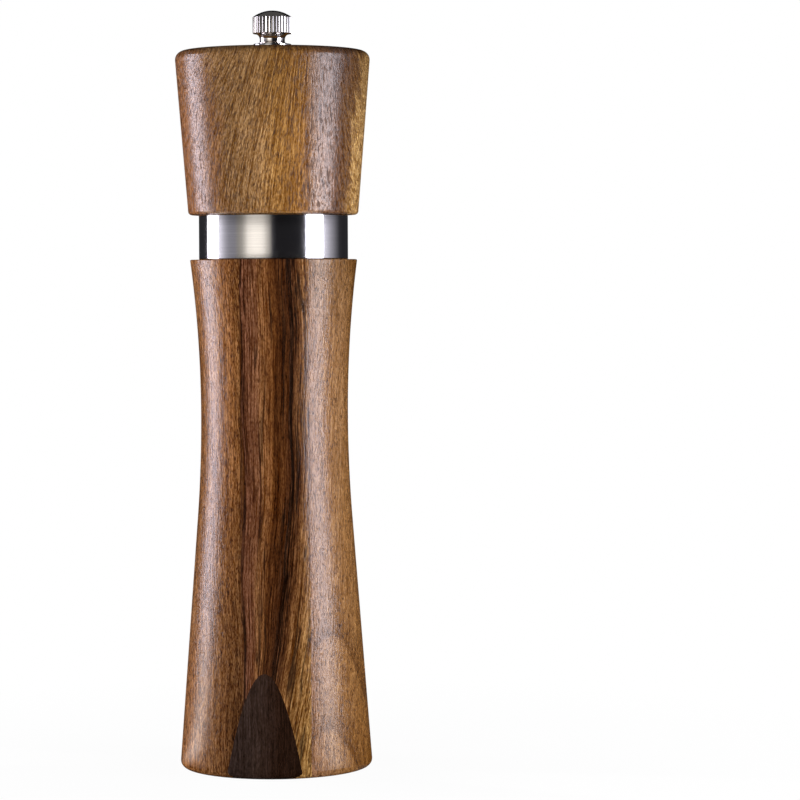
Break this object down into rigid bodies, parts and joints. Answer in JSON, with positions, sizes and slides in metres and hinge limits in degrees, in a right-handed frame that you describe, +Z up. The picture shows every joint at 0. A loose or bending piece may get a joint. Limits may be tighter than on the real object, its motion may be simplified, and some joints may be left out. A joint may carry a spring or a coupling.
{
  "type": "pepper mill",
  "caption": "Tall turned wooden pepper mill with a waisted body, steel neck band, flared twist head and a fluted metal knob that sets the grind.",
  "frame": {"origin": "centre of the base, on the table", "axes": "+Z up along the turning axis, -Y towards the dark inlay in the base"},
  "size_m": [0.0554, 0.0554, 0.216],
  "materials": {
    "wood_left": "satin lacquer",
    "wood_centre": "satin lacquer",
    "wood_right": "satin lacquer",
    "wood_head": "satin lacquer",
    "wood_inlay": "satin lacquer",
    "brushed_steel": "brushed round",
    "chrome": "polished",
    "bright_steel": "bright",
    "aluminium": "drawn",
    "grinder_steel": "hardened",
    "black_plastic": "matte"
  },
  "bodies": {
    "body": {"body_left_board": "wood_left", "body_front_board": "wood_centre", "body_back_board": "wood_centre", "body_right_board": "wood_right", "base_inlay": "wood_inlay", "neck_collar": "brushed_steel", "grinder_housing": "black_plastic", "stator_ring": "grinder_steel", "housing_screws": "bright_steel"},
    "spring_seat": {"spring_washer": "bright_steel", "grinder_spring": "bright_steel"},
    "drive": {"drive_shaft": "aluminium", "rotor_cone": "grinder_steel", "rotor_hub": "black_plastic", "rotor_washer": "bright_steel", "rotor_screw": "bright_steel"},
    "head": {"mill_head": "wood_head", "head_bushing": "chrome", "drive_plate": "bright_steel", "drive_plate_screws": "bright_steel"},
    "knob": {"adjusting_knob": "chrome"}
  },
  "joints": [
    {"name": "grind_turn", "type": "hinge", "parent": "body", "child": "spring_seat", "pos_m": [0, 0, 0.1579], "axis": [0, 0, 1], "continuous": true},
    {"name": "grind_adjust", "type": "slide", "parent": "spring_seat", "child": "drive", "axis": [0, 0, 1], "range_m": [-0.0008, 0.0008], "deforming": ["grinder_spring"]},
    {"name": "head_lift", "type": "slide", "parent": "spring_seat", "child": "head", "axis": [0, 0, 1], "range_m": [0, 0.085]},
    {"name": "knob_turn", "type": "hinge", "parent": "head", "child": "knob", "pos_m": [0, 0, 0.2065], "axis": [0, 0, 1], "range_deg": [-360, 360]}
  ],
  "couplings": [
    {"joint": "knob_turn", "follows": "grind_adjust", "rad_per_m": -7854}
  ]
}
